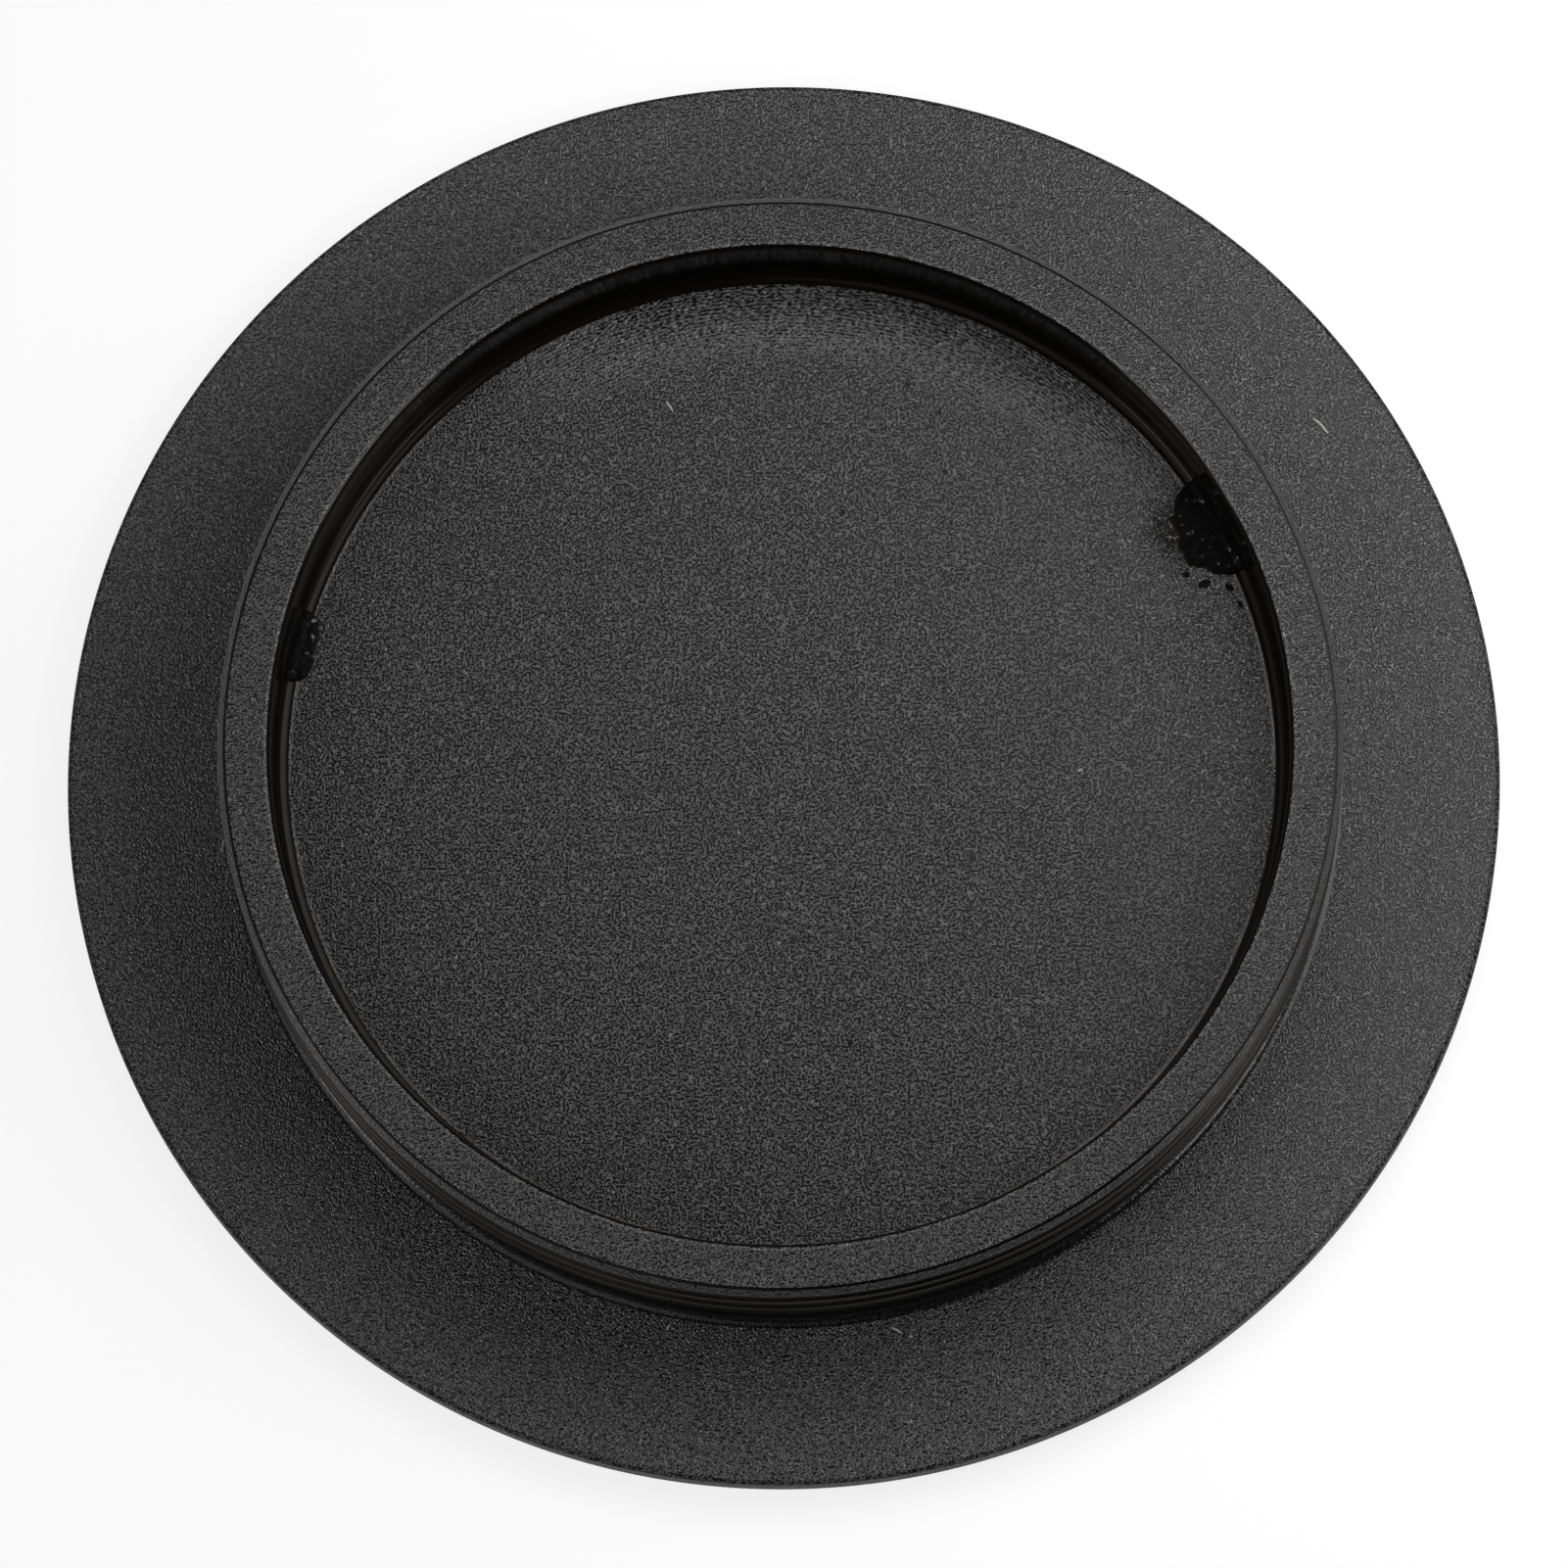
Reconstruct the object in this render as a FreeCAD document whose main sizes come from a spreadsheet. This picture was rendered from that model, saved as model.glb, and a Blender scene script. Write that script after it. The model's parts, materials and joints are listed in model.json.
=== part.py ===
import FreeCAD, Part
import math
import os
import Sketcher

# Screw-in lens cap: one turned piece, lying on its outer face with the threaded spigot up.
# Millimetres. The origin is the centre of the outer face, and +Z is the turning axis, out of the recess.

NODE = "lens_cap"
OUT_DIR = "parts"
TOLERANCE = 1e-4

# The driving dimensions: name, size, what it measures
SIZES = (
    ("thread_diameter", 25.4, "major diameter of the spigot's thread"),
    ("thread_length", 2.1, "threaded band, from the mouth down to the relief"),
    ("relief_width", 1.7, "plain neck between the flange and the threaded band"),
    ("relief_depth", 0.2, "how far the neck lies inside the thread's crests"),
    ("relief_slope", 45, "run-out slope from the neck up to the threaded band, in degrees"),
    ("flange_overhang", 3.63, "how far the flange stands out past the thread"),
    ("flange_thickness", 1.0, "from the outer face to the seating face"),
    ("wall_thickness", 1.2, "spigot wall, from the recess to the thread's crests"),
    ("recess_depth", 2.2, "from the mouth down to the recess floor"),
    ("mouth_outer_chamfer", 0.15, "lead-in chamfer on the thread"),
    ("mouth_inner_chamfer", 0.12, "edge break at the recess mouth"),
    ("recess_fillet", 0.3, "corner between the recess wall and its floor"),
    ("neck_fillet", 0.25, "corner between the neck and the seating face"),
    ("rim_round", 0.1, "edge round on the flange's upper rim"),
    ("rim_chamfer", 0.4, "edge break on the flange's outer face"),
    ("tool_overrun", 1.0, "how far a cut runs out into the air"),
)


def make_sheet(doc):
    sheet = doc.addObject("Spreadsheet::Sheet", "Sizes")
    for row, (name, size, meaning) in enumerate(SIZES, start=1):
        sheet.set(f"A{row}", name)
        sheet.set(f"B{row}", str(size))
        sheet.set(f"C{row}", meaning)
        sheet.setAlias(f"B{row}", name)
    derived = (
        ("thread_radius", "=thread_diameter / 2"),
        ("neck_radius", "=thread_diameter / 2 - relief_depth"),
        ("recess_radius", "=thread_diameter / 2 - wall_thickness"),
        ("flange_radius", "=thread_diameter / 2 + flange_overhang"),
        ("mouth_height", "=flange_thickness + relief_width + thread_length"),
        ("floor_height", "=flange_thickness + relief_width + thread_length - recess_depth"),
    )
    for row, (name, formula) in enumerate(derived, start=len(SIZES) + 2):
        sheet.set(f"A{row}", name)
        sheet.set(f"B{row}", formula)
        sheet.setAlias(f"B{row}", name)
    doc.recompute()
    return sheet


def origin_plane(body, role):
    return next(plane for plane in body.Origin.OriginFeatures if plane.Role == role)


def new_sketch(body, name, plane_role):
    sketch = body.newObject("Sketcher::SketchObject", name)
    sketch.AttachmentSupport = [(origin_plane(body, plane_role), "")]
    sketch.MapMode = "FlatFace"
    return sketch


def closed_outline(sketch, corners):
    # Straight sides joined end to end. A level or upright side is held so by a constraint.
    ends = corners[1:] + corners[:1]
    for start, end in zip(corners, ends):
        start_point = FreeCAD.Vector(*start, 0)
        end_point = FreeCAD.Vector(*end, 0)
        side = sketch.addGeometry(Part.LineSegment(start_point, end_point), False)
        if abs(start[1] - end[1]) < TOLERANCE:
            sketch.addConstraint(Sketcher.Constraint("Horizontal", side))
        elif abs(start[0] - end[0]) < TOLERANCE:
            sketch.addConstraint(Sketcher.Constraint("Vertical", side))
    for side in range(len(corners)):
        next_side = (side + 1) % len(corners)
        sketch.addConstraint(Sketcher.Constraint("Coincident", side, 2, next_side, 1))


def dimension(sketch, kind, refs, value, name, formula):
    # One named dimension, tied to the sheet
    index = sketch.addConstraint(Sketcher.Constraint(kind, *refs, value))
    sketch.renameConstraint(index, name)
    sketch.setExpression(f"Constraints.{name}", formula)


def turned_blank(body, sheet):
    # Half section of the flange and the spigot before any cutting, spun about the axis
    sketch = new_sketch(body, "BlankSection", "XZ_Plane")
    rim = sheet.flange_radius
    spigot = sheet.thread_radius
    seat = sheet.flange_thickness
    mouth = sheet.mouth_height
    closed_outline(sketch, [(0, 0), (rim, 0), (rim, seat), (spigot, seat), (spigot, mouth), (0, mouth)])
    sketch.addConstraint(Sketcher.Constraint("Coincident", 0, 1, -1, 1))
    dimension(sketch, "Distance", (0,), rim, "rim_reach", "Sizes.flange_radius")
    dimension(sketch, "Distance", (1,), seat, "flange_rise", "Sizes.flange_thickness")
    dimension(sketch, "Distance", (4,), spigot, "spigot_reach", "Sizes.thread_radius")
    dimension(sketch, "Distance", (5,), mouth, "mouth_rise", "Sizes.mouth_height")
    blank = body.newObject("PartDesign::Revolution", "TurnedBlank")
    blank.Profile = sketch
    blank.ReferenceAxis = (sketch, ["V_Axis"])
    blank.Angle = 360
    return blank


def thread_relief(body, sheet):
    # Neck below the thread: level on the seating face, sloping out at its upper end
    sketch = new_sketch(body, "ReliefSection", "XZ_Plane")
    neck = sheet.neck_radius
    outside = sheet.thread_radius + sheet.tool_overrun
    seat = sheet.flange_thickness
    slope = math.radians(sheet.relief_slope)
    slope_foot = seat + sheet.relief_width - sheet.relief_depth * math.tan(slope)
    slope_end = slope_foot + (outside - neck) * math.tan(slope)
    closed_outline(sketch, [(neck, seat), (outside, seat), (outside, slope_end), (neck, slope_foot)])
    dimension(sketch, "DistanceX", (-1, 1, 0, 1), neck, "neck_reach", "Sizes.neck_radius")
    dimension(sketch, "DistanceY", (-1, 1, 0, 1), seat, "neck_foot", "Sizes.flange_thickness")
    dimension(sketch, "Distance", (0,), outside - neck, "cut_reach", "Sizes.relief_depth + Sizes.tool_overrun")
    dimension(sketch, "Angle", (-1, 1, 2, 2), slope, "run_out", "Sizes.relief_slope * 1 deg")
    dimension(
        sketch, "Distance", (3,), slope_foot - seat, "neck_rise",
        "Sizes.relief_width - Sizes.relief_depth * tan(Sizes.relief_slope * 1 deg)",
    )
    groove = body.newObject("PartDesign::Groove", "ThreadRelief")
    groove.Profile = sketch
    groove.ReferenceAxis = (sketch, ["V_Axis"])
    groove.Angle = 360
    return groove


def recess(body, sheet):
    # Round pocket bored down from the mouth to the floor
    sketch = new_sketch(body, "RecessCircle", "XY_Plane")
    sketch.setExpression("AttachmentOffset.Base.z", "Sizes.mouth_height")
    centre = FreeCAD.Vector(0, 0, 0)
    up = FreeCAD.Vector(0, 0, 1)
    sketch.addGeometry(Part.Circle(centre, up, sheet.recess_radius), False)
    sketch.addConstraint(Sketcher.Constraint("Coincident", 0, 3, -1, 1))
    dimension(sketch, "Radius", (0,), sheet.recess_radius, "recess_reach", "Sizes.recess_radius")
    pocket = body.newObject("PartDesign::Pocket", "Recess")
    pocket.Profile = sketch
    pocket.setExpression("Length", "Sizes.recess_depth")
    return pocket


def ring_edge(feature, radius, height):
    # Name of the round edge of this radius at this height
    for number, edge in enumerate(feature.Shape.Edges, start=1):
        if not isinstance(edge.Curve, Part.Circle):
            continue
        centre = edge.Curve.Center
        if abs(edge.Curve.Radius - radius) < TOLERANCE and abs(centre.z - height) < TOLERANCE:
            return f"Edge{number}"
    raise RuntimeError(f"{feature.Name} has no round edge of radius {radius} at height {height}")


def dress_edge(body, kind, name, radius, height, size_name):
    # Chamfer or fillet on one round edge of the body as it is so far
    base = body.Tip
    feature = body.newObject(f"PartDesign::{kind}", name)
    feature.Base = (base, [ring_edge(base, radius, height)])
    feature.setExpression("Radius" if kind == "Fillet" else "Size", f"Sizes.{size_name}")
    body.Document.recompute()


def cut_volume(doc, body, make, sheet):
    # Makes one cut and gives the volume that it took away
    before = body.Shape.Volume
    make(body, sheet)
    doc.recompute()
    return before - body.Shape.Volume


def lens_cap(doc, sheet):
    body = doc.addObject("PartDesign::Body", "LensCap")
    body.Label = NODE
    turned_blank(body, sheet)
    doc.recompute()
    for make in (thread_relief, recess):
        if cut_volume(doc, body, make, sheet) <= 0:
            raise RuntimeError(f"{make.__name__} took nothing away")

    mouth = sheet.mouth_height
    seat = sheet.flange_thickness
    dress_edge(body, "Fillet", "RecessFillet", sheet.recess_radius, sheet.floor_height, "recess_fillet")
    dress_edge(body, "Fillet", "NeckFillet", sheet.neck_radius, seat, "neck_fillet")
    dress_edge(body, "Chamfer", "MouthInnerChamfer", sheet.recess_radius, mouth, "mouth_inner_chamfer")
    dress_edge(body, "Chamfer", "MouthOuterChamfer", sheet.thread_radius, mouth, "mouth_outer_chamfer")
    dress_edge(body, "Fillet", "RimRound", sheet.flange_radius, seat, "rim_round")
    dress_edge(body, "Chamfer", "RimChamfer", sheet.flange_radius, 0, "rim_chamfer")
    return body


def check_document(doc, bodies):
    for item in doc.Objects:
        if "Invalid" in item.State or "Error" in item.State:
            raise RuntimeError(f"{item.Name} failed: {item.State}")
    for body in bodies:
        if body.Shape.isNull() or not body.Shape.isValid():
            raise RuntimeError(f"{body.Label} has no valid shape")
        if len(body.Shape.Solids) != 1:
            raise RuntimeError(f"{body.Label} is not one solid")


def main():
    doc = FreeCAD.newDocument("LensCap")
    sheet = make_sheet(doc)
    bodies = [lens_cap(doc, sheet)]
    doc.recompute()
    check_document(doc, bodies)
    os.makedirs(OUT_DIR, exist_ok=True)
    for body in bodies:
        body.Shape.exportStep(os.path.join(OUT_DIR, body.Label + ".step"))
        box = body.Shape.optimalBoundingBox(False)
        print(f"{body.Label}: {box.XLength:.2f} x {box.YLength:.2f} x {box.ZLength:.2f} mm, "
              f"{body.Shape.Volume:.1f} mm3")


main()
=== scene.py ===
import json
import math
import bpy
from mathutils import Matrix, Vector, noise


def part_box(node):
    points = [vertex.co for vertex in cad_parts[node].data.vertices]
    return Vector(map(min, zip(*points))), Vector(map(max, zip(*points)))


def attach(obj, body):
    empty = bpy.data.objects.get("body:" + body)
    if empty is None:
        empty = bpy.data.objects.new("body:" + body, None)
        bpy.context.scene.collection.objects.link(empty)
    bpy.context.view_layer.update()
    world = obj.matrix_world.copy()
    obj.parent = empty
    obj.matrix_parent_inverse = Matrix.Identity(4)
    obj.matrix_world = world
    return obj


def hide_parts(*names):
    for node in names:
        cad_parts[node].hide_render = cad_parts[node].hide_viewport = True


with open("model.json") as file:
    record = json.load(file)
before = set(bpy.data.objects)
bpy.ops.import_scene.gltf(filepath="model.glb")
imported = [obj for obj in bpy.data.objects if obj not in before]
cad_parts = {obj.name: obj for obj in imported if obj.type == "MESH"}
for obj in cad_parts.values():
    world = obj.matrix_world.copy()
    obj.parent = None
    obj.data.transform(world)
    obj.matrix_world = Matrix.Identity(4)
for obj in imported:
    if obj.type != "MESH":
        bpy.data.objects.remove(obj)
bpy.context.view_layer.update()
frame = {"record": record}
mm = 0.001
scene = bpy.context.scene
scene.view_settings.view_transform = "Standard"

# Main sizes come from the frame, so the dressed cap follows the solid
mounts = {mount["name"]: mount for mount in frame["record"]["mounts"]}
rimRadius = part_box("lens_cap")[1].x
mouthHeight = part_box("lens_cap")[1].z
threadRadius = mounts["threaded_spigot"]["dims"]["r_mm"] * mm
seatHeight = mounts["seating_face"]["pos_m"][2]
print("frame loaded: rim", round(rimRadius / mm, 2), "mm, height", round(mouthHeight / mm, 2), "mm")


# Small helpers for node trees

def addNode(tree, kind, feeds=None, **settings):
    node = tree.nodes.new(kind)
    for name, value in settings.items():
        setattr(node, name, value)
    for key, value in (feeds or {}).items():
        if isinstance(value, bpy.types.NodeSocket):
            tree.links.new(value, node.inputs[key])
        else:
            node.inputs[key].default_value = value
    return node


def addMath(tree, operation, *values):
    return addNode(tree, "ShaderNodeMath", dict(enumerate(values)), operation=operation).outputs[0]


def addRange(tree, value, low, high, lowOut=0.0, highOut=1.0, smooth=True):
    feeds = {"Value": value, "From Min": low, "From Max": high, "To Min": lowOut, "To Max": highOut}
    style = "SMOOTHSTEP" if smooth else "LINEAR"
    return addNode(tree, "ShaderNodeMapRange", feeds, interpolation_type=style).outputs[0]


def addScaled(tree, vector, factor):
    return addNode(tree, "ShaderNodeVectorMath", {0: vector, "Scale": factor}, operation="SCALE").outputs[0]


def addNoise(tree, vector, scale, detail):
    return addNode(tree, "ShaderNodeTexNoise", {"Vector": vector, "Scale": scale, "Detail": detail}).outputs


def addNoiseLine(tree, along, scale, detail):
    feeds = {"W": along, "Scale": scale, "Detail": detail}
    return addNode(tree, "ShaderNodeTexNoise", feeds, noise_dimensions="1D").outputs[0]


def mixValues(tree, share, first, second):
    return addNode(tree, "ShaderNodeMix", {0: share, 2: first, 3: second}).outputs[0]


def mixColours(tree, share, first, second):
    return addNode(tree, "ShaderNodeMix", {0: share, 6: first, 7: second}, data_type="RGBA").outputs[2]


def newTree(name, kind, inputs, outputs):
    tree = bpy.data.node_groups.new(name, kind)
    for label, socketType in inputs.items():
        tree.interface.new_socket(label, in_out="INPUT", socket_type="NodeSocket" + socketType)
    for label, socketType in outputs.items():
        tree.interface.new_socket(label, in_out="OUTPUT", socket_type="NodeSocket" + socketType)
    return tree, tree.nodes.new("NodeGroupInput").outputs, tree.nodes.new("NodeGroupOutput").inputs


def newObject(name, mesh):
    obj = bpy.data.objects.new(name, mesh)
    scene.collection.objects.link(obj)
    return obj


def bakeTree(obj, tree, values):
    modifier = obj.modifiers.new(tree.name, "NODES")
    modifier.node_group = tree
    for item in tree.interface.items_tree:
        if item.in_out == "INPUT" and item.name in values:
            modifier[item.identifier] = values[item.name]
    depsgraph = bpy.context.evaluated_depsgraph_get()
    obj.data = bpy.data.meshes.new_from_object(obj.evaluated_get(depsgraph), depsgraph=depsgraph)
    obj.modifiers.remove(modifier)


# Shader groups shared by the finishes

def makeBlastGrain():
    # curled ridges left between the bead marks, under the dye
    driftScale = 0.6
    ridgeScale = 1.4
    ridgeLow, ridgeHigh = 0.3, 0.7
    tree, given, result = newTree(
        "blastGrain", "ShaderNodeTree",
        {"Vector": "Vector", "Grain Size": "Float", "Curl": "Float", "Spread": "Float"},
        {"Height": "Float", "Tone": "Float"},
    )
    place = addScaled(tree, given["Vector"], addMath(tree, "DIVIDE", 1.0, given["Grain Size"]))
    drift = addNoise(tree, place, driftScale, detail=0.0)["Color"]
    middle = (0.5, 0.5, 0.5)
    swing = addNode(tree, "ShaderNodeVectorMath", {0: drift, 1: middle}, operation="SUBTRACT").outputs[0]
    curl = addScaled(tree, swing, given["Curl"])
    curled = addNode(tree, "ShaderNodeVectorMath", {0: place, 1: curl}, operation="ADD").outputs[0]
    field = addNoise(tree, curled, ridgeScale, detail=0.0)[0]
    ridges = addRange(tree, field, ridgeLow, ridgeHigh, smooth=False)
    tree.links.new(ridges, result["Height"])
    halfSpread = addMath(tree, "MULTIPLY", given["Spread"], 0.5)
    low = addMath(tree, "SUBTRACT", 0.5, halfSpread)
    high = addMath(tree, "ADD", 0.5, halfSpread)
    tree.links.new(addRange(tree, ridges, low, high), result["Tone"])
    return tree


def makeLatheMarks():
    # fine parallel feed lines along one direction, each a little different from the next
    wanderScale = 0.5
    unevenScale = 0.7
    leastStrength = 0.5
    tree, given, result = newTree(
        "latheMarks", "ShaderNodeTree",
        {"Along": "Float", "Vector": "Vector", "Pitch": "Float", "Waver": "Float"},
        {"Height": "Float", "Tone": "Float"},
    )
    place = addScaled(tree, given["Vector"], addMath(tree, "DIVIDE", wanderScale, given["Pitch"]))
    wander = addNoise(tree, place, scale=1.0, detail=1.0)[0]
    turns = addMath(tree, "DIVIDE", given["Along"], given["Pitch"])
    shifted = addMath(tree, "MULTIPLY_ADD", wander, given["Waver"], turns)
    wave = addMath(tree, "SINE", addMath(tree, "MULTIPLY", shifted, math.tau))
    lines = addMath(tree, "MULTIPLY_ADD", wave, 0.5, 0.5)
    tree.links.new(lines, result["Height"])
    uneven = addNoiseLine(tree, turns, unevenScale, detail=2.0)
    strength = addMath(tree, "ADD", uneven, leastStrength)
    tree.links.new(addMath(tree, "MULTIPLY", lines, strength), result["Tone"])
    return tree


def makePits():
    # few tiny dark pin holes
    darkShare = 0.4     # part of the width that is fully dark
    tree, given, result = newTree(
        "pits", "ShaderNodeTree",
        {"Vector": "Vector", "Spacing": "Float", "Width": "Float"}, {"Mask": "Float"},
    )
    density = addMath(tree, "DIVIDE", 1.0, given["Spacing"])
    place = addScaled(tree, given["Vector"], density)
    away = addNode(tree, "ShaderNodeTexVoronoi", {"Vector": place, "Scale": 1.0}).outputs["Distance"]
    width = addMath(tree, "MULTIPLY", given["Width"], density)
    inside = addMath(tree, "MULTIPLY", width, darkShare)
    tree.links.new(addRange(tree, away, inside, width, 1.0, 0.0), result["Mask"])
    return tree


def makeStain():
    # soft ragged blot round one spot
    blotsAcross = 4.0
    darkShare = 0.4     # part of the reach that is fully dark
    tree, given, result = newTree(
        "stain", "ShaderNodeTree",
        {"Vector": "Vector", "Centre": "Vector", "Reach": "Float", "Ragged": "Float"}, {"Mask": "Float"},
    )
    ends = {0: given["Vector"], 1: given["Centre"]}
    away = addNode(tree, "ShaderNodeVectorMath", ends, operation="DISTANCE").outputs["Value"]
    place = addScaled(tree, given["Vector"], addMath(tree, "DIVIDE", blotsAcross, given["Reach"]))
    blot = addNoise(tree, place, scale=1.0, detail=3.0)[0]
    swing = addMath(tree, "MULTIPLY", addMath(tree, "SUBTRACT", blot, 0.5), given["Ragged"])
    edge = addMath(tree, "ADD", away, swing)
    inside = addMath(tree, "MULTIPLY", given["Reach"], darkShare)
    tree.links.new(addRange(tree, edge, inside, given["Reach"], 1.0, 0.0), result["Mask"])
    return tree


blastGrain = makeBlastGrain()
latheMarks = makeLatheMarks()
pits = makePits()
stain = makeStain()


def plainMaterial(name, **values):
    material = bpy.data.materials.new(name)
    material.use_nodes = True
    shader = material.node_tree.nodes["Principled BSDF"]
    for label, value in values.items():
        shader.inputs[label.replace("_", " ")].default_value = value
    return material


def startMaterial(name, **values):
    material = plainMaterial(name, **values)
    tree = material.node_tree
    place = tree.nodes.new("ShaderNodeTexCoord").outputs["Object"]
    return material, tree, tree.nodes["Principled BSDF"], place


def useGroup(tree, group, feeds):
    return addNode(tree, "ShaderNodeGroup", feeds, node_tree=group).outputs


def addBump(tree, shader, height, depth):
    bump = addNode(tree, "ShaderNodeBump", {"Height": height, "Distance": depth, "Strength": 1.0})
    tree.links.new(bump.outputs[0], shader.inputs["Normal"])


def axisDistance(tree, split):
    squares = addMath(tree, "MULTIPLY_ADD", split[0], split[0], addMath(tree, "MULTIPLY", split[1], split[1]))
    return addMath(tree, "SQRT", squares)


flangeLook = {
    "dark": (0.002, 0.002, 0.0021, 1),
    "light": (0.074, 0.074, 0.0758, 1),
    "roughness": 0.22,
    "shine": 0.7,
    "grainSize": 0.07 * mm,      # puts the flat faces on whole noise cells, where the grain is evenest
    "curl": 0.8,
    "spread": 0.34,
    "grainDepth": 0.024 * mm,
}
mouthLook = flangeLook | {
    "light": (0.084, 0.084, 0.086, 1),
    "shine": 0.62,
    "spread": 0.26,
    "grainDepth": 0.046 * mm,
}
lipLook = mouthLook | {
    "dark": (0.01, 0.01, 0.0103, 1),
    "light": (0.09, 0.09, 0.092, 1),
    "shine": 1.0,
    "grainDepth": 0.03 * mm,
}


def useGrain(tree, place, look):
    return useGroup(tree, blastGrain, {
        "Vector": place, "Grain Size": look["grainSize"], "Curl": look["curl"], "Spread": look["spread"],
    })


def addPits(tree, place, look, colour):
    holes = useGroup(tree, pits, {"Vector": place, "Spacing": look["pitSpacing"], "Width": look["pitWidth"]})
    return mixColours(tree, holes["Mask"], colour, look["pit"])


def blastedBlack(name, look):
    material, tree, shader, place = startMaterial(
        name, Roughness=look["roughness"], Specular_IOR_Level=look["shine"],
    )
    grain = useGrain(tree, place, look)
    colour = mixColours(tree, grain["Tone"], look["dark"], look["light"])
    if "pit" in look:
        colour = addPits(tree, place, look, colour)
    tree.links.new(colour, shader.inputs["Base Color"])
    addBump(tree, shader, grain["Height"], look["grainDepth"])
    return material


discLook = flangeLook | {
    "light": (0.13, 0.13, 0.133, 1),
    "shine": 0.72,
    "spread": 0.26,
    "grainDepth": 0.048 * mm,
    "pit": (0.002, 0.002, 0.002, 1),
    "pitSpacing": 1.6 * mm,
    "pitWidth": 0.09 * mm,
}
floorLook = discLook | {
    "feed": 0.087 * mm,         # one turn of the facing tool
    "ringsFrom": 9.2 * mm,
    "ringsFull": 11.0 * mm,
    "ringsAngle": 80,           # painted highlight: the feed lines are painted bright only round this far-side angle, where the light catches them
    "ringsSpread": (25, 50),    # degrees to either side: full, then gone
    "dashLength": 2.2,          # grain drawn out along the rings
    # brightness of the painted highlight on the feed lines
    "ringTone": 7.0,
    "ringHeight": 0.5,
    "waver": 0.55,
    "stain": (0.004, 0.003, 0.002, 1),
    "stainCentre": (9.2 * mm, 5.4 * mm, 2.6 * mm),
    "stainReach": 1.15 * mm,
    "stainRagged": 1.0 * mm,
    "dust": (0.2, 0.17, 0.14, 1),   # painted highlight: broken pale line along the floor's edge at the corner, where the light catches it
    "dustFrom": 11.11 * mm,
    "dustFull": 11.16 * mm,
    "dustPatches": 2.5,
    "dustBreaks": (0.4, 0.55),
}


def turnedFloor():
    look = floorLook
    material, tree, shader, place = startMaterial(
        "turnedFloor", Roughness=look["roughness"], Specular_IOR_Level=look["shine"],
    )
    grain = useGrain(tree, place, look)
    split = addNode(tree, "ShaderNodeSeparateXYZ", {0: place}).outputs
    reach = axisDistance(tree, split)
    rings = useGroup(tree, latheMarks, {
        "Along": reach, "Vector": place, "Pitch": look["feed"], "Waver": look["waver"],
    })
    # the turning marks are real, but they are drawn, bright in the colour, only on the far side, as painted
    # highlight where the light catches them
    angle = addMath(tree, "ARCTAN2", split[1], split[0])
    aside = addMath(tree, "ABSOLUTE", addMath(tree, "SUBTRACT", angle, math.radians(look["ringsAngle"])))
    within, gone = (math.radians(side) for side in look["ringsSpread"])
    litRingShare = addMath(tree, "MULTIPLY", addRange(tree, reach, look["ringsFrom"], look["ringsFull"]),
                        addRange(tree, aside, within, gone, 1.0, 0.0))
    drawn = addMath(tree, "MULTIPLY", angle, look["ringsFull"] / look["dashLength"])
    dashes = useGrain(tree, addNode(tree, "ShaderNodeCombineXYZ", {0: reach, 1: drawn}).outputs[0], look)
    dashSheen = addMath(tree, "MULTIPLY", dashes["Tone"], look["ringTone"])
    ringTone = addMath(tree, "MULTIPLY", rings["Tone"], dashSheen)
    tone = mixValues(tree, litRingShare, grain["Tone"], ringTone)
    ringHeight = addMath(tree, "MULTIPLY_ADD", rings["Height"], look["ringHeight"], dashes["Height"])
    height = mixValues(tree, litRingShare, grain["Height"], ringHeight)
    colour = mixColours(tree, tone, look["dark"], look["light"])
    colour = addPits(tree, place, look, colour)
    blot = useGroup(tree, stain, {
        "Vector": place, "Centre": look["stainCentre"],
        "Reach": look["stainReach"], "Ragged": look["stainRagged"],
    })
    colour = mixColours(tree, blot["Mask"], colour, look["stain"])
    # painted highlight of the corner: a broken pale line in the colour along the floor's edge, kept off the
    # feed lines
    patches = addNoiseLine(tree, angle, look["dustPatches"], detail=4.0)
    dust = addMath(tree, "MULTIPLY", addRange(tree, reach, look["dustFrom"], look["dustFull"]),
                   addRange(tree, patches, *look["dustBreaks"]))
    dust = addMath(tree, "MULTIPLY", dust, addMath(tree, "SUBTRACT", 1.0, litRingShare))
    tree.links.new(mixColours(tree, dust, colour, look["dust"]), shader.inputs["Base Color"])
    addBump(tree, shader, height, look["grainDepth"])
    return material


satinLook = {
    "dark": (0.003, 0.0028, 0.0026, 1),
    "light": (0.009, 0.0084, 0.0078, 1),
    "roughness": 0.3,
    "shine": 0.2,
    "cast": (1.0, 0.9, 0.82, 1),    # highlights are a little brown
    "feed": 0.06 * mm,
    "waver": 0.3,
    "markDepth": 0.0012 * mm,
}
boreLook = satinLook | {
    "dark": (0.0022, 0.0019, 0.0016, 1),
    "light": (0.004, 0.0033, 0.0027, 1),
    "roughness": 0.13,
    "shine": 0.18,
    "markDepth": 0.0003 * mm,
}
cornerLook = boreLook | {"roughness": 0.24, "shine": 0.12}


def cutSatin(name, look):
    material, tree, shader, place = startMaterial(
        name, Roughness=look["roughness"], Specular_IOR_Level=look["shine"], Specular_Tint=look["cast"],
    )
    rise = addNode(tree, "ShaderNodeSeparateXYZ", {0: place}).outputs[2]
    marks = useGroup(tree, latheMarks, {
        "Along": rise, "Vector": place, "Pitch": look["feed"], "Waver": look["waver"],
    })
    tree.links.new(mixColours(tree, marks["Tone"], look["dark"], look["light"]), shader.inputs["Base Color"])
    addBump(tree, shader, marks["Height"], look["markDepth"])
    return material


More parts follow.
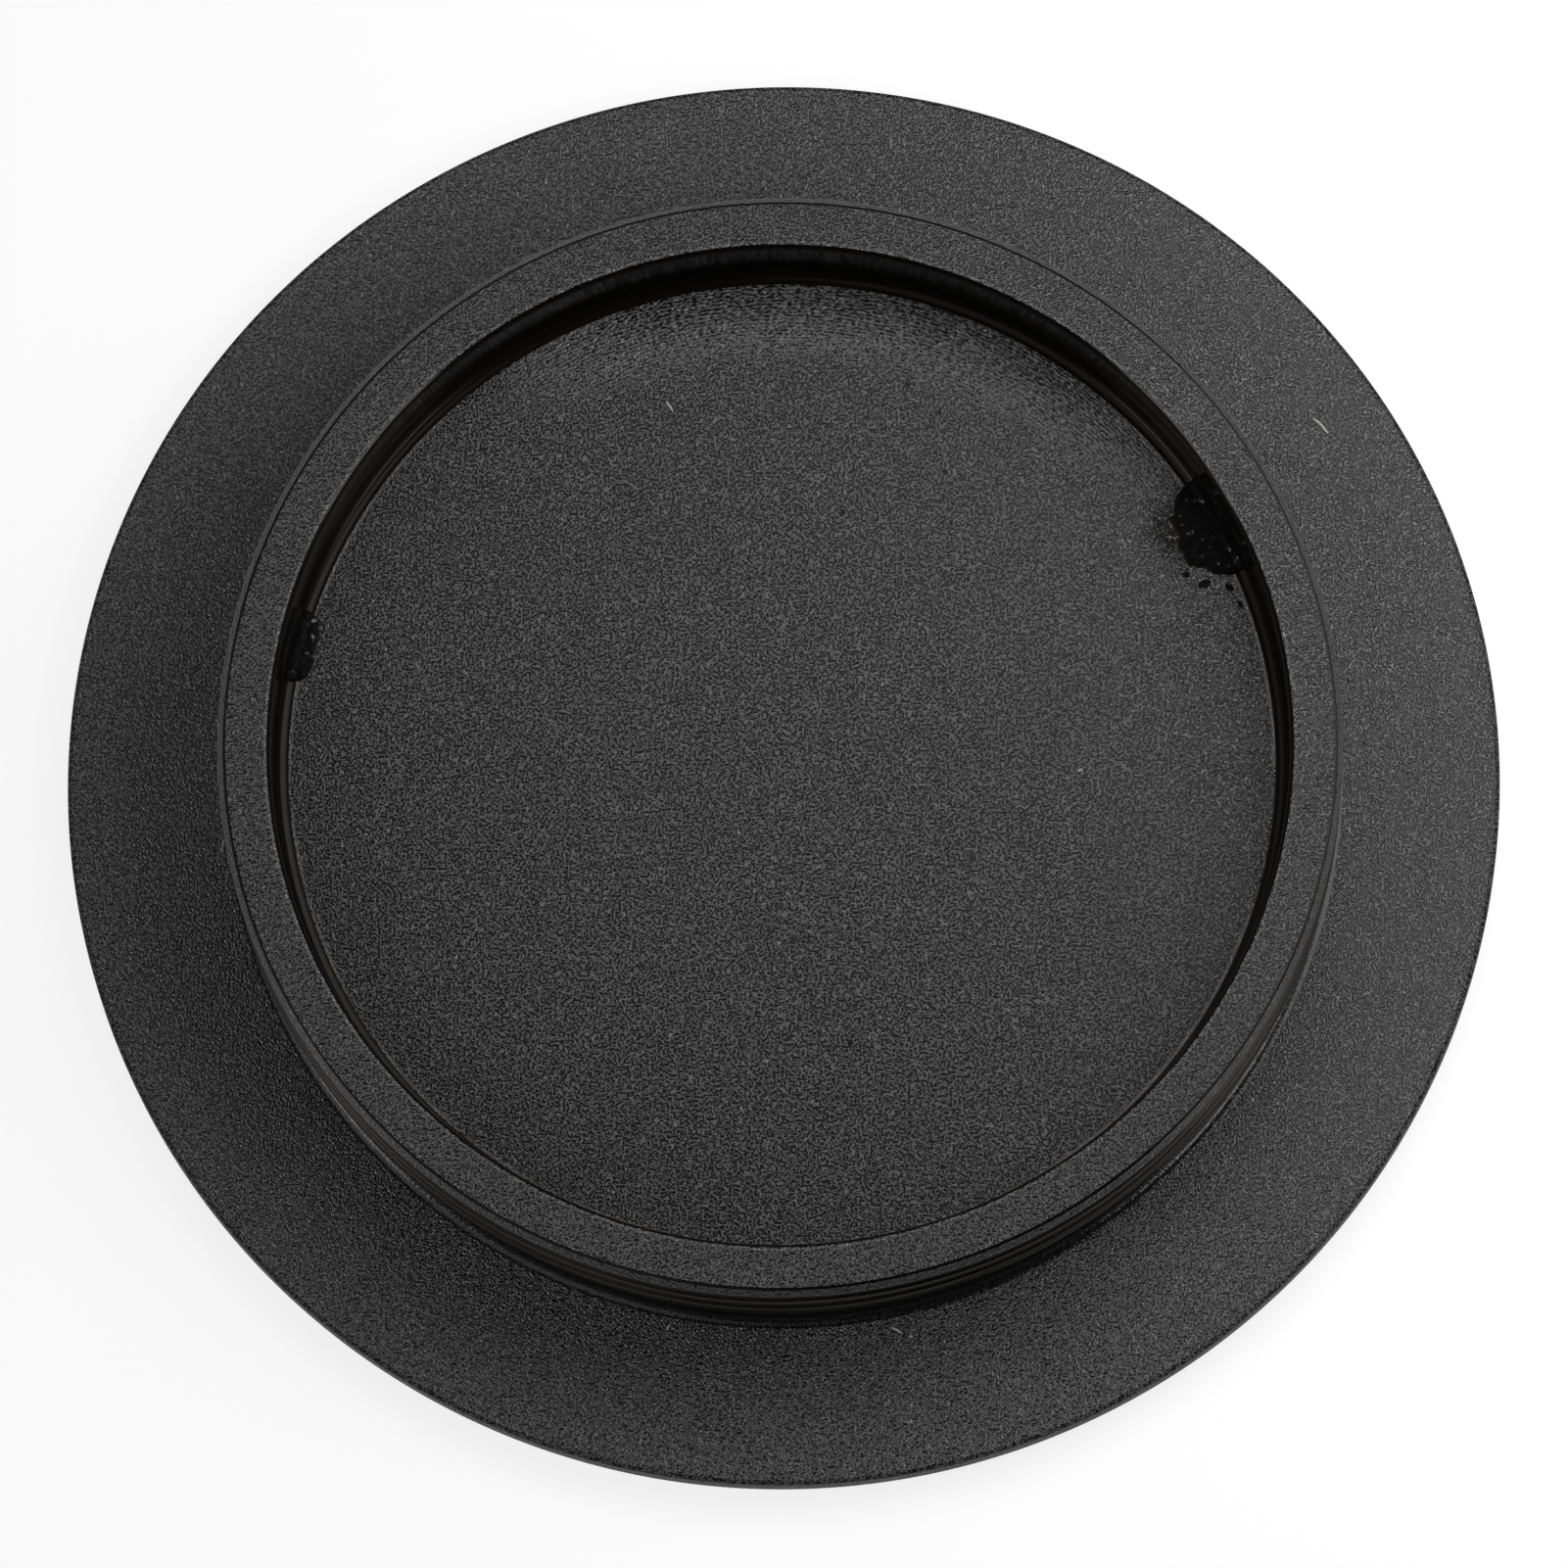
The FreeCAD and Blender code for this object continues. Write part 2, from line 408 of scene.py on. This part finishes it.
edgeLook = flangeLook | {
    "light": (0.015, 0.015, 0.0154, 1),
    "roughness": 0.3,
    "shine": 0.45,
    "grainDepth": 0.014 * mm,
}
rimLook = flangeLook | {"roughness": 0.5, "shine": 0.1}
footLook = edgeLook | {"light": (0.012, 0.011, 0.0105, 1), "roughness": 0.18, "grainDepth": 0.004 * mm}

finishes = {
    "flange": blastedBlack("flangeBlack", flangeLook),
    "mouth": blastedBlack("mouthBlack", mouthLook),
    "lip": blastedBlack("lipBlack", lipLook),
    "edge": blastedBlack("edgeBlack", edgeLook),
    "foot": blastedBlack("footBlack", footLook),
    "rim": blastedBlack("rimBlack", rimLook),
    "disc": blastedBlack("discBlack", discLook),
    "floor": turnedFloor(),
    "satin": cutSatin("satinBlack", satinLook),
    "bore": cutSatin("boreBlack", boreLook),
    "corner": cutSatin("cornerBlack", cornerLook),
}
finishNames = list(finishes)
print("finishes made:", ", ".join(finishNames))


# The cap: half section spun about the axis, with the thread cut into its band

capShape = {
    "reliefWidth": 1.7 * mm,
    "reliefDepth": 0.2 * mm,
    "wallThickness": 1.2 * mm,
    "recessDepth": 2.2 * mm,
    "mouthOuterChamfer": 0.15 * mm,
    "mouthInnerChamfer": 0.12 * mm,
    "recessFillet": 0.3 * mm,
    "neckFillet": 0.25 * mm,
    "rimRound": 0.1 * mm,
    "rimChamfer": 0.4 * mm,
    "lipRound": 0.1 * mm,
    "boreRound": 0.24 * mm,
    "crownRound": 0.09 * mm,
    "edgeBreak": 0.02 * mm,      # corners that look sharp
    "support": 0.02 * mm,        # keeps a corner's shading out of the flat beside it
    "supportFrom": 6,            # shortest run that gets supports, in supports
    "weld": 0.0005 * mm,         # joins the seam and the poles
    "columns": 720,
    "arcSteps": 8,
    "breakSteps": 3,
    "pitch": 25.4 / 32 * mm,
    "crestHeight": 3.1545 * mm,  # a crest's height where the turn starts
    "grooveDepth": 0.3 * mm,
    "crestHalf": 0.1 * mm,
    "flankRun": 0.2 * mm,
    "threadRows": 16,            # rows in one pitch
    "threadFade": 0.25 * mm,
    "nickAngle": 325.6,
    "nickWidth": 0.45 * mm,
    "nickDepth": 0.05 * mm,
}
recessRadius = threadRadius - capShape["wallThickness"]
neckRadius = threadRadius - capShape["reliefDepth"]
floorHeight = mouthHeight - capShape["recessDepth"]
bandBottom = seatHeight + capShape["reliefWidth"]
bandTop = mouthHeight - capShape["mouthOuterChamfer"]


def roundedCorner(before, corner, after, radius, steps):
    toBefore = (before - corner).normalized()
    toAfter = (after - corner).normalized()
    half = toBefore.angle(toAfter) / 2
    centre = corner + (toBefore + toAfter).normalized() * (radius / math.sin(half))
    start = (corner + toBefore * (radius / math.tan(half)) - centre).normalized()
    end = (corner + toAfter * (radius / math.tan(half)) - centre).normalized()
    return [centre + start.slerp(end, step / steps) * radius for step in range(steps + 1)]


def capCorners():
    shape = capShape
    tiny = shape["edgeBreak"]
    slopeFoot = bandBottom - shape["reliefDepth"]
    # radius, height, rounding, finish of the rounding, finish of the run that follows
    return [
        (0.0, 0.0, 0.0, "", "flange"),
        (rimRadius - shape["rimChamfer"], 0.0, tiny, "rim", "rim"),
        (rimRadius, shape["rimChamfer"], tiny, "rim", "rim"),
        (rimRadius, seatHeight, shape["rimRound"], "rim", "flange"),
        (neckRadius, seatHeight, shape["neckFillet"], "foot", "satin"),
        (neckRadius, slopeFoot, tiny, "satin", "satin"),
        (threadRadius, bandBottom, 0.0, "", "thread"),
        (threadRadius, bandTop, 0.0, "", "edge"),
        (threadRadius - shape["mouthOuterChamfer"], mouthHeight, shape["crownRound"], "bore", "mouth"),
        (recessRadius + shape["mouthInnerChamfer"], mouthHeight, shape["lipRound"], "lip", "bore"),
        (recessRadius, mouthHeight - shape["mouthInnerChamfer"], shape["boreRound"], "bore", "bore"),
        (recessRadius, floorHeight, shape["recessFillet"], "corner", "floor"),
        (floorLook["ringsFrom"], floorHeight, 0.0, "", "disc"),
        (0.0, floorHeight, 0.0, "", ""),
    ]


def capSection():
    shape = capShape
    corners = capCorners()
    spots = [Vector(corner[:2]) for corner in corners]
    points, strips, threaded, dented = [], [], [], []

    def addPoint(spot, finish, onThread=0.0, onRim=0.0):
        if points:
            strips.append(finishNames.index(finish))
        points.append((spot[0], 0.0, spot[1]))
        threaded.append(onThread)
        dented.append(onRim)

    runFinish = ""
    for place, (rounding, roundFinish, nextFinish) in enumerate(corner[2:] for corner in corners):
        if rounding:
            steps = shape["breakSteps"] if rounding == shape["edgeBreak"] else shape["arcSteps"]
            arc = roundedCorner(spots[place - 1], spots[place], spots[place + 1], rounding, steps)
        else:
            arc = [spots[place]]
        onRim = roundFinish == "rim" and rounding == shape["rimRound"]
        if points:
            last = Vector((points[-1][0], points[-1][2]))
            way = (arc[0] - last).normalized() * shape["support"]
            shortest = shape["supportFrom"] * shape["support"]
            if (arc[0] - last).length > shortest and runFinish != "thread":
                addPoint(last + way, runFinish)
                addPoint(arc[0] - way, runFinish)
        if runFinish == "thread":
            rowRise = shape["pitch"] / shape["threadRows"]
            firstRow = math.floor((bandBottom - shape["pitch"] - shape["crestHeight"]) / rowRise)
            lastRow = math.ceil((bandTop - shape["crestHeight"]) / rowRise)
            for row in range(firstRow, lastRow + 1):
                addPoint((threadRadius, shape["crestHeight"] + row * rowRise), "satin", onThread=1.0)
        addPoint(arc[0], "satin" if runFinish == "thread" else runFinish)
        for step, spot in enumerate(arc[1:], start=1):
            # the nick is deepest in the middle of the rim's round
            addPoint(spot, roundFinish, onRim=math.sin(math.pi * step / steps) if onRim else 0.0)
        runFinish = nextFinish
    return points, strips, threaded, dented


def sectionMesh():
    points, strips, threaded, dented = capSection()
    mesh = bpy.data.meshes.new("lens_cap")
    mesh.from_pydata(points, [(row, row + 1) for row in range(len(points) - 1)], [])
    mesh.attributes.new("finish", "INT", "EDGE").data.foreach_set("value", strips)
    mesh.attributes.new("threaded", "FLOAT", "POINT").data.foreach_set("value", threaded)
    mesh.attributes.new("dented", "FLOAT", "POINT").data.foreach_set("value", dented)
    return mesh


def sampleRow(tree, section, value, row, dataType, domain="POINT"):
    feeds = {"Geometry": section, "Value": value, "Index": row}
    return addNode(tree, "GeometryNodeSampleIndex", feeds, data_type=dataType, domain=domain).outputs[0]


def namedValue(tree, name, dataType):
    return addNode(tree, "GeometryNodeInputNamedAttribute", {"Name": name}, data_type=dataType).outputs[0]


def makeCapTree():
    sizes = ("Pitch", "Crest Height", "Groove Depth", "Crest Half", "Flank Run", "Band Bottom", "Band Top",
             "Fade", "Nick Angle", "Nick Width", "Nick Depth", "Weld")
    inputs = {"Section": "Geometry", "Columns": "Int"} | {label: "Float" for label in sizes}
    tree, given, result = newTree("turnedCap", "GeometryNodeTree", inputs, {"Cap": "Geometry"})
    section = given["Section"]
    rows = addNode(tree, "GeometryNodeAttributeDomainSize", {"Geometry": section}).outputs["Point Count"]
    grid = addNode(tree, "GeometryNodeMeshGrid", {
        "Vertices X": addMath(tree, "ADD", given["Columns"], 1), "Vertices Y": rows,
    }).outputs["Mesh"]
    index = tree.nodes.new("GeometryNodeInputIndex").outputs[0]
    column = addMath(tree, "FLOOR", addMath(tree, "DIVIDE", index, rows))
    turn = addMath(tree, "DIVIDE", column, given["Columns"])
    row = addMath(tree, "MODULO", index, rows)
    angle = addMath(tree, "MULTIPLY", turn, math.tau)

    position = tree.nodes.new("GeometryNodeInputPosition").outputs[0]
    spot = addNode(tree, "ShaderNodeSeparateXYZ", {
        0: sampleRow(tree, section, position, row, "FLOAT_VECTOR"),
    }).outputs
    reach, height = spot[0], spot[2]
    threaded = sampleRow(tree, section, namedValue(tree, "threaded", "FLOAT"), row, "FLOAT")
    dented = sampleRow(tree, section, namedValue(tree, "dented", "FLOAT"), row, "FLOAT")

    # thread rows climb one pitch in a turn and stop at the ends of the band
    climbed = addMath(tree, "MULTIPLY_ADD", turn, given["Pitch"], height)
    ends = {0: climbed, 1: given["Band Bottom"], 2: given["Band Top"]}
    rise = mixValues(tree, threaded, height, addNode(tree, "ShaderNodeClamp", ends).outputs[0])
    phase = addMath(tree, "DIVIDE", addMath(tree, "SUBTRACT", height, given["Crest Height"]), given["Pitch"])
    fromCrest = addMath(tree, "MULTIPLY", addMath(tree, "PINGPONG", phase, 0.5), given["Pitch"])
    flankEnd = addMath(tree, "ADD", given["Crest Half"], given["Flank Run"])
    groove = addRange(tree, fromCrest, given["Crest Half"], flankEnd)
    fromBottom = addMath(tree, "SUBTRACT", rise, given["Band Bottom"])
    fromTop = addMath(tree, "SUBTRACT", given["Band Top"], rise)
    fade = addMath(tree, "MULTIPLY", addRange(tree, fromBottom, 0.0, given["Fade"]),
                   addRange(tree, fromTop, 0.0, given["Fade"]))
    cut = addMath(tree, "MULTIPLY", addMath(tree, "MULTIPLY", groove, fade), given["Groove Depth"])
    cut = addMath(tree, "MULTIPLY", cut, threaded)

    # one nick in the rim's upper edge
    fromNick = addMath(tree, "ABSOLUTE", addMath(tree, "SUBTRACT", angle, given["Nick Angle"]))
    nickArc = addMath(tree, "MULTIPLY", fromNick, reach)
    nick = addRange(tree, nickArc, 0.0, addMath(tree, "MULTIPLY", given["Nick Width"], 0.5), 1.0, 0.0)
    dent = addMath(tree, "MULTIPLY", addMath(tree, "MULTIPLY", nick, dented), given["Nick Depth"])
    reach = addMath(tree, "SUBTRACT", addMath(tree, "SUBTRACT", reach, cut), dent)
    rise = addMath(tree, "SUBTRACT", rise, dent)

    turned = addNode(tree, "ShaderNodeCombineXYZ", {
        0: addMath(tree, "MULTIPLY", reach, addMath(tree, "COSINE", angle)),
        1: addMath(tree, "MULTIPLY", reach, addMath(tree, "SINE", angle)),
        2: rise,
    }).outputs[0]
    mesh = addNode(tree, "GeometryNodeSetPosition", {"Geometry": grid, "Position": turned}).outputs[0]
    strip = addMath(tree, "MODULO", index, addMath(tree, "SUBTRACT", rows, 1))
    finish = sampleRow(tree, section, namedValue(tree, "finish", "INT"), strip, "INT", "EDGE")
    mesh = addNode(tree, "GeometryNodeStoreNamedAttribute", {
        "Geometry": mesh, "Name": "finish", "Value": finish,
    }, data_type="INT", domain="FACE")
    mesh = addNode(tree, "GeometryNodeMergeByDistance", {
        "Geometry": mesh.outputs[0], "Distance": given["Weld"],
    })
    mesh = addNode(tree, "GeometryNodeSetShadeSmooth", {"Geometry": mesh.outputs[0]})
    mesh = addNode(tree, "GeometryNodeRealizeInstances", {"Geometry": mesh.outputs[0]})
    for number, material in enumerate(finishes.values()):
        isFinish = addNode(tree, "FunctionNodeCompare", {
            2: namedValue(tree, "finish", "INT"), 3: number,
        }, data_type="INT", operation="EQUAL")
        mesh = addNode(tree, "GeometryNodeSetMaterial", {
            "Geometry": mesh.outputs[0], "Selection": isFinish.outputs[0], "Material": material,
        })
    tree.links.new(mesh.outputs[0], result["Cap"])
    return tree


def makeCap():
    shape = capShape
    cap = newObject("turned_cap", sectionMesh())
    bakeTree(cap, makeCapTree(), {
        "Columns": shape["columns"],
        "Pitch": shape["pitch"],
        "Crest Height": shape["crestHeight"],
        "Groove Depth": shape["grooveDepth"],
        "Crest Half": shape["crestHalf"],
        "Flank Run": shape["flankRun"],
        "Band Bottom": bandBottom,
        "Band Top": bandTop,
        "Fade": shape["threadFade"],
        "Nick Angle": math.radians(shape["nickAngle"]),
        "Nick Width": shape["nickWidth"],
        "Nick Depth": shape["nickDepth"],
        "Weld": shape["weld"],
    })
    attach(cap, "root")
    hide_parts("lens_cap")
    return cap


cap = makeCap()
print("cap turned:", len(cap.data.polygons), "faces")


# Black dabs left in the recess corner

dabLook = {
    "body": (0.002, 0.002, 0.002, 1),
    "edge": (0.013, 0.009, 0.006, 1),    # thin edges look brown
    "edgeThickness": 0.03 * mm,
    "roughness": 0.5,
    "shine": 0.05,
    "glintSize": 0.18 * mm,
    "glintRange": (0.62, 0.74),
    "glintRoughness": 0.17,
}
dabShapes = {
    # bulge moves the widest place along the dab: 1 is the middle, more is nearer the end
    "corner_dab_right": {
        "start": 22.9, "end": 35.0, "bulge": 0.95, "overFloor": 1.05 * mm, "upWall": 0.8 * mm,
        "thickness": 0.14 * mm, "lump": 0.6 * mm, "ragged": 0.16, "seed": 4,
    },
    "corner_dab_left": {
        "start": 161.6, "end": 170.2, "bulge": 1.0, "overFloor": 0.56 * mm, "upWall": 0.75 * mm,
        "thickness": 0.11 * mm, "lump": 0.4 * mm, "ragged": 0.1, "seed": 9,
    },
}
dabForm = {
    "columns": 90,
    "rows": 60,
    "margin": 1.2,               # the mesh reaches past the dab's edge
    "sink": 0.05 * mm,           # its root lies inside the cap
    "edgeSink": 0.4,             # share of that by which the thin edge dips
    "leastReach": 0.01 * mm,
    "outlinePower": 2.6,
    "edgePower": 3,
    "edgeLumps": 0.15,
    "lumpShare": 0.25,
    "fineShare": 0.2,
    "finer": 3,                  # fine lumps against the large ones
}


def dabMaterial():
    look = dabLook
    material, tree, shader, place = startMaterial(
        "blackDab", Roughness=look["roughness"], Specular_IOR_Level=look["shine"],
        Coat_Roughness=look["glintRoughness"],
    )
    thickness = addNode(tree, "ShaderNodeAttribute", attribute_name="thickness").outputs["Fac"]
    body = addRange(tree, thickness, 0.0, look["edgeThickness"])
    tree.links.new(mixColours(tree, body, look["edge"], look["body"]), shader.inputs["Base Color"])
    wet = addNoise(tree, place, 1 / look["glintSize"], detail=1.0)[0]
    tree.links.new(addRange(tree, wet, *look["glintRange"]), shader.inputs["Coat Weight"])
    return material


def cornerSpot(walk):
    # a place on the recess corner and the way off it; walk runs from the floor, over the fillet, up the wall
    radius = capShape["recessFillet"]
    halfArc = radius * math.pi / 4
    centre = Vector((recessRadius - radius, floorHeight + radius))
    onArc = max(-halfArc, min(walk, halfArc))
    turn = onArc / radius - math.pi / 4
    out = Vector((math.cos(turn), math.sin(turn)))
    onward = Vector((-out.y, out.x))
    return centre + out * radius + onward * (walk - onArc), -out


def dabThickness(dab, along, walk, place):
    form = dabForm
    power = form["outlinePower"]
    width = (1 - abs(2 * along ** dab["bulge"] - 1) ** power) ** (1 / power)
    reach = (dab["overFloor"] if walk < 0 else dab["upWall"]) * width
    seed = Vector((0, 0, dab["seed"]))
    lumps = noise.noise(place / dab["lump"] + seed)
    fine = noise.noise(place / dab["lump"] * form["finer"] + seed)
    reach = max(reach * (1 + form["edgeLumps"] * lumps + dab["ragged"] * fine), form["leastReach"])
    swell = 1 + form["lumpShare"] * lumps + form["fineShare"] * fine
    return dab["thickness"] * width * (1 - (abs(walk) / reach) ** form["edgePower"]) * swell


def makeDab(name, dab, material):
    columns, rows, sink = dabForm["columns"], dabForm["rows"], dabForm["sink"]
    walkStart = -dabForm["margin"] * dab["overFloor"]
    walkLength = dabForm["margin"] * (dab["overFloor"] + dab["upWall"])
    skin, root, thickness = [], [], []
    for column in range(columns + 1):
        along = column / columns
        angle = math.radians(dab["start"] + (dab["end"] - dab["start"]) * along)
        for row in range(rows + 1):
            walk = walkStart + walkLength * row / rows
            spot, off = cornerSpot(walk)
            place = Vector((spot.x * math.cos(angle), spot.x * math.sin(angle), spot.y))
            way = Vector((off.x * math.cos(angle), off.x * math.sin(angle), off.y))
            thick = max(dabThickness(dab, along, walk, place), -dabForm["edgeSink"] * sink)
            skin.append(place + way * thick)
            root.append(place - way * sink)
            thickness.append(thick)
    across = rows + 1
    half = len(skin)
    faces = []
    for column in range(columns):
        for row in range(rows):
            a = column * across + row
            faces.append((a, a + 1, a + across + 1, a + across))
            faces.append((a + half + across, a + half + across + 1, a + half + 1, a + half))
    border = list(range(across)) + [column * across + rows for column in range(1, columns + 1)]
    border += [columns * across + row for row in range(rows - 1, -1, -1)]
    border += [column * across for column in range(columns - 1, 0, -1)]
    for a, b in zip(border, border[1:] + border[:1]):
        faces.append((b, a, a + half, b + half))
    mesh = bpy.data.meshes.new(name)
    mesh.from_pydata(skin + root, [], faces)
    mesh.attributes.new("thickness", "FLOAT", "POINT").data.foreach_set("value", thickness + [0.0] * half)
    mesh.polygons.foreach_set("use_smooth", [True] * len(faces))
    mesh.materials.append(material)
    dabPiece = newObject(name, mesh)
    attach(dabPiece, "root")


blackDab = dabMaterial()
for dabName, dabShape in dabShapes.items():
    makeDab(dabName, dabShape, blackDab)
print("corner dabs made:", ", ".join(dabShapes))


# Lint and specks lying on the cap

lintLook = {"colour": (0.4, 0.39, 0.37, 1), "roughness": 0.8, "flatness": 1.0}
speckLook = {"colour": (0.004, 0.003, 0.0025, 1), "roughness": 0.7, "shine": 0.08, "flatness": 0.15}
lintFlecks = [
    # place in millimetres, turn in degrees, length and width
    ((-2.57, 8.34, 2.6), -55, 0.15, 0.04),
    ((12.30, 8.21, 1.0), -47, 0.27, 0.05),
    ((6.77, -0.21, 2.6), 20, 0.07, 0.04),
    ((-12.76, -1.53, 1.0), 82, 0.17, 0.03),
    ((-2.58, -12.70, 1.0), 60, 0.09, 0.04),
    ((2.56, -12.80, 1.0), -30, 0.16, 0.04),
    ((2.89, -12.95, 1.0), 0, 0.05, 0.04),
]
dabSpecks = [
    ((9.20, 4.34, 2.6), 0, 0.17, 0.15),
    ((9.62, 4.13, 2.6), 20, 0.3, 0.2),
    ((10.18, 4.04, 2.6), -40, 0.24, 0.15),
    ((10.42, 3.65, 2.6), -60, 0.2, 0.1),
]


def fibreShape(tree):
    # a bowed fibre of unit length and width, sized where it lies
    path = addNode(tree, "GeometryNodeCurveQuadraticBezier", {
        "Resolution": 8, "Start": (-0.5, 0, 0), "Middle": (0, 1.2, 1.0), "End": (0.5, 0, 0),
    }).outputs[0]
    ring = addNode(tree, "GeometryNodeCurvePrimitiveCircle", {"Resolution": 8, "Radius": 0.5}).outputs[0]
    feeds = {"Curve": path, "Profile Curve": ring, "Fill Caps": True}
    return addNode(tree, "GeometryNodeCurveToMesh", feeds).outputs[0]


def speckShape(tree):
    return addNode(tree, "GeometryNodeMeshUVSphere", {"Segments": 16, "Rings": 8, "Radius": 0.5}).outputs[0]


def scatter(name, spots, flatness, makeShape, material):
    mesh = bpy.data.meshes.new(name)
    mesh.from_pydata([Vector(place) * mm for place, turn, length, width in spots], [], [])
    turns = [math.radians(turn) for place, turn, length, width in spots]
    mesh.attributes.new("turn", "FLOAT", "POINT").data.foreach_set("value", turns)
    sizes = [size * mm for place, turn, length, width in spots for size in (length, width, width * flatness)]
    mesh.attributes.new("size", "FLOAT_VECTOR", "POINT").data.foreach_set("vector", sizes)

    tree, given, result = newTree(name, "GeometryNodeTree", {"Spots": "Geometry"}, {"Pieces": "Geometry"})
    spin = addNode(tree, "ShaderNodeCombineXYZ", {2: namedValue(tree, "turn", "FLOAT")}).outputs[0]
    pieces = addNode(tree, "GeometryNodeInstanceOnPoints", {
        "Points": given["Spots"], "Instance": makeShape(tree),
        "Rotation": addNode(tree, "FunctionNodeEulerToRotation", {0: spin}).outputs[0],
        "Scale": namedValue(tree, "size", "FLOAT_VECTOR"),
    }).outputs[0]
    pieces = addNode(tree, "GeometryNodeSetShadeSmooth", {"Geometry": pieces}).outputs[0]
    pieces = addNode(tree, "GeometryNodeRealizeInstances", {"Geometry": pieces}).outputs[0]
    pieces = addNode(tree, "GeometryNodeSetMaterial", {"Geometry": pieces, "Material": material}).outputs[0]
    tree.links.new(pieces, result["Pieces"])
    scattered = newObject(name, mesh)
    bakeTree(scattered, tree, {})
    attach(scattered, "root")


lint = plainMaterial("lint", Base_Color=lintLook["colour"], Roughness=lintLook["roughness"])
speckBlack = plainMaterial(
    "speckBlack", Base_Color=speckLook["colour"], Roughness=speckLook["roughness"],
    Specular_IOR_Level=speckLook["shine"],
)
scatter("lint_flecks", lintFlecks, lintLook["flatness"], fibreShape, lint)
scatter("dab_specks", dabSpecks, speckLook["flatness"], speckShape, speckBlack)
print("lint and specks laid:", len(lintFlecks) + len(dabSpecks))


# Floor, light and camera

paleFloor = {
    "size": 4.0,
    "gap": 0.01 * mm,
    "paint": (0.25, 0.25, 0.25, 1),
    "glow": 0.8,                 # seen directly and in reflections only
}


def makeFloor():
    half = paleFloor["size"] / 2
    corners = [(x * half, y * half, -paleFloor["gap"]) for x, y in ((-1, -1), (1, -1), (1, 1), (-1, 1))]
    mesh = bpy.data.meshes.new("pale_floor")
    mesh.from_pydata(corners, [], [(0, 1, 2, 3)])
    material = bpy.data.materials.new("paleFloor")
    material.use_nodes = True
    tree = material.node_tree
    tree.nodes.clear()
    paint = addNode(tree, "ShaderNodeBsdfDiffuse", {"Color": paleFloor["paint"]}).outputs[0]
    rays = tree.nodes.new("ShaderNodeLightPath").outputs
    seen = addMath(tree, "MAXIMUM", rays["Is Camera Ray"], rays["Is Glossy Ray"])
    seen = addMath(tree, "MAXIMUM", seen, rays["Is Transmission Ray"])
    glow = addNode(tree, "ShaderNodeEmission", {
        "Color": (1, 1, 1, 1), "Strength": addMath(tree, "MULTIPLY", seen, paleFloor["glow"]),
    }).outputs[0]
    both = addNode(tree, "ShaderNodeAddShader", {0: paint, 1: glow}).outputs[0]
    addNode(tree, "ShaderNodeOutputMaterial", {"Surface": both})
    mesh.materials.append(material)
    newObject("pale_floor", mesh)


worldStrength = 0.03
studio = {
    # azimuth and elevation in degrees, distance and width in metres, power in watts
    "rightBox": (25, 52, 0.05, 0.045, 0.0185),
    "lowBox": (8, 22, 0.05, 0.045, 0.002),
    "backFill": (90, 60, 0.5, 0.25, 0.25),
    "leftFill": (135, 35, 0.5, 0.4, 0.15),
    "sideFill": (180, 32, 0.5, 0.4, 0.32),
    "frontFill": (225, 45, 0.5, 0.45, 0.4),
    "leftEdge": (207, 9, 0.5, 0.2, 0.5),
    "rightEdge": (332, 9, 0.5, 0.2, 0.55),
}


def addLight(name, azimuth, elevation, distance, width, power):
    lamp = bpy.data.lights.new(name, "AREA")
    lamp.size = width
    lamp.energy = power
    light = newObject(name, lamp)
    around, up = math.radians(azimuth), math.radians(elevation)
    flat = math.cos(up)
    way = Vector((flat * math.cos(around), flat * math.sin(around), math.sin(up)))
    light.location = way * distance
    light.rotation_mode = "QUATERNION"
    light.rotation_quaternion = way.to_track_quat("Z", "Y")
    light.visible_camera = False     # the near ones would stand in the way of other views


def makeStudio():
    world = bpy.data.worlds.new("studioWorld")
    scene.world = world
    world.use_nodes = True
    background = world.node_tree.nodes["Background"].inputs
    background["Color"].default_value = (1, 1, 1, 1)
    background["Strength"].default_value = worldStrength
    for name, values in studio.items():
        addLight(name, *values)


photoView = {
    "tilt": 12.566,        # away from the cap's axis
    "azimuth": 275.2,
    "distance": 335.5 * mm,
    "lens": 337.9,
    "sensor": 36,
    "shift": (0.0006, -0.0037),
    "clipStart": 10 * mm,
}


def makeCamera():
    view = photoView
    tilt, azimuth = math.radians(view["tilt"]), math.radians(view["azimuth"])
    back = Vector((math.sin(tilt) * math.cos(azimuth), math.sin(tilt) * math.sin(azimuth), math.cos(tilt)))
    right = Vector((0, 1, 0)).cross(back).normalized()
    turn = Matrix((right, back.cross(right), back)).transposed().to_4x4()
    lens = bpy.data.cameras.new("photoCamera")
    lens.sensor_width = view["sensor"]
    lens.lens = view["lens"]
    lens.shift_x, lens.shift_y = view["shift"]
    lens.clip_start = view["clipStart"]
    camera = newObject("photoCamera", lens)
    stand = Vector((0, 0, seatHeight)) + back * view["distance"]
    camera.matrix_world = Matrix.Translation(stand) @ turn
    scene.camera = camera


makeFloor()
makeStudio()
makeCamera()
print("floor, light and camera set")
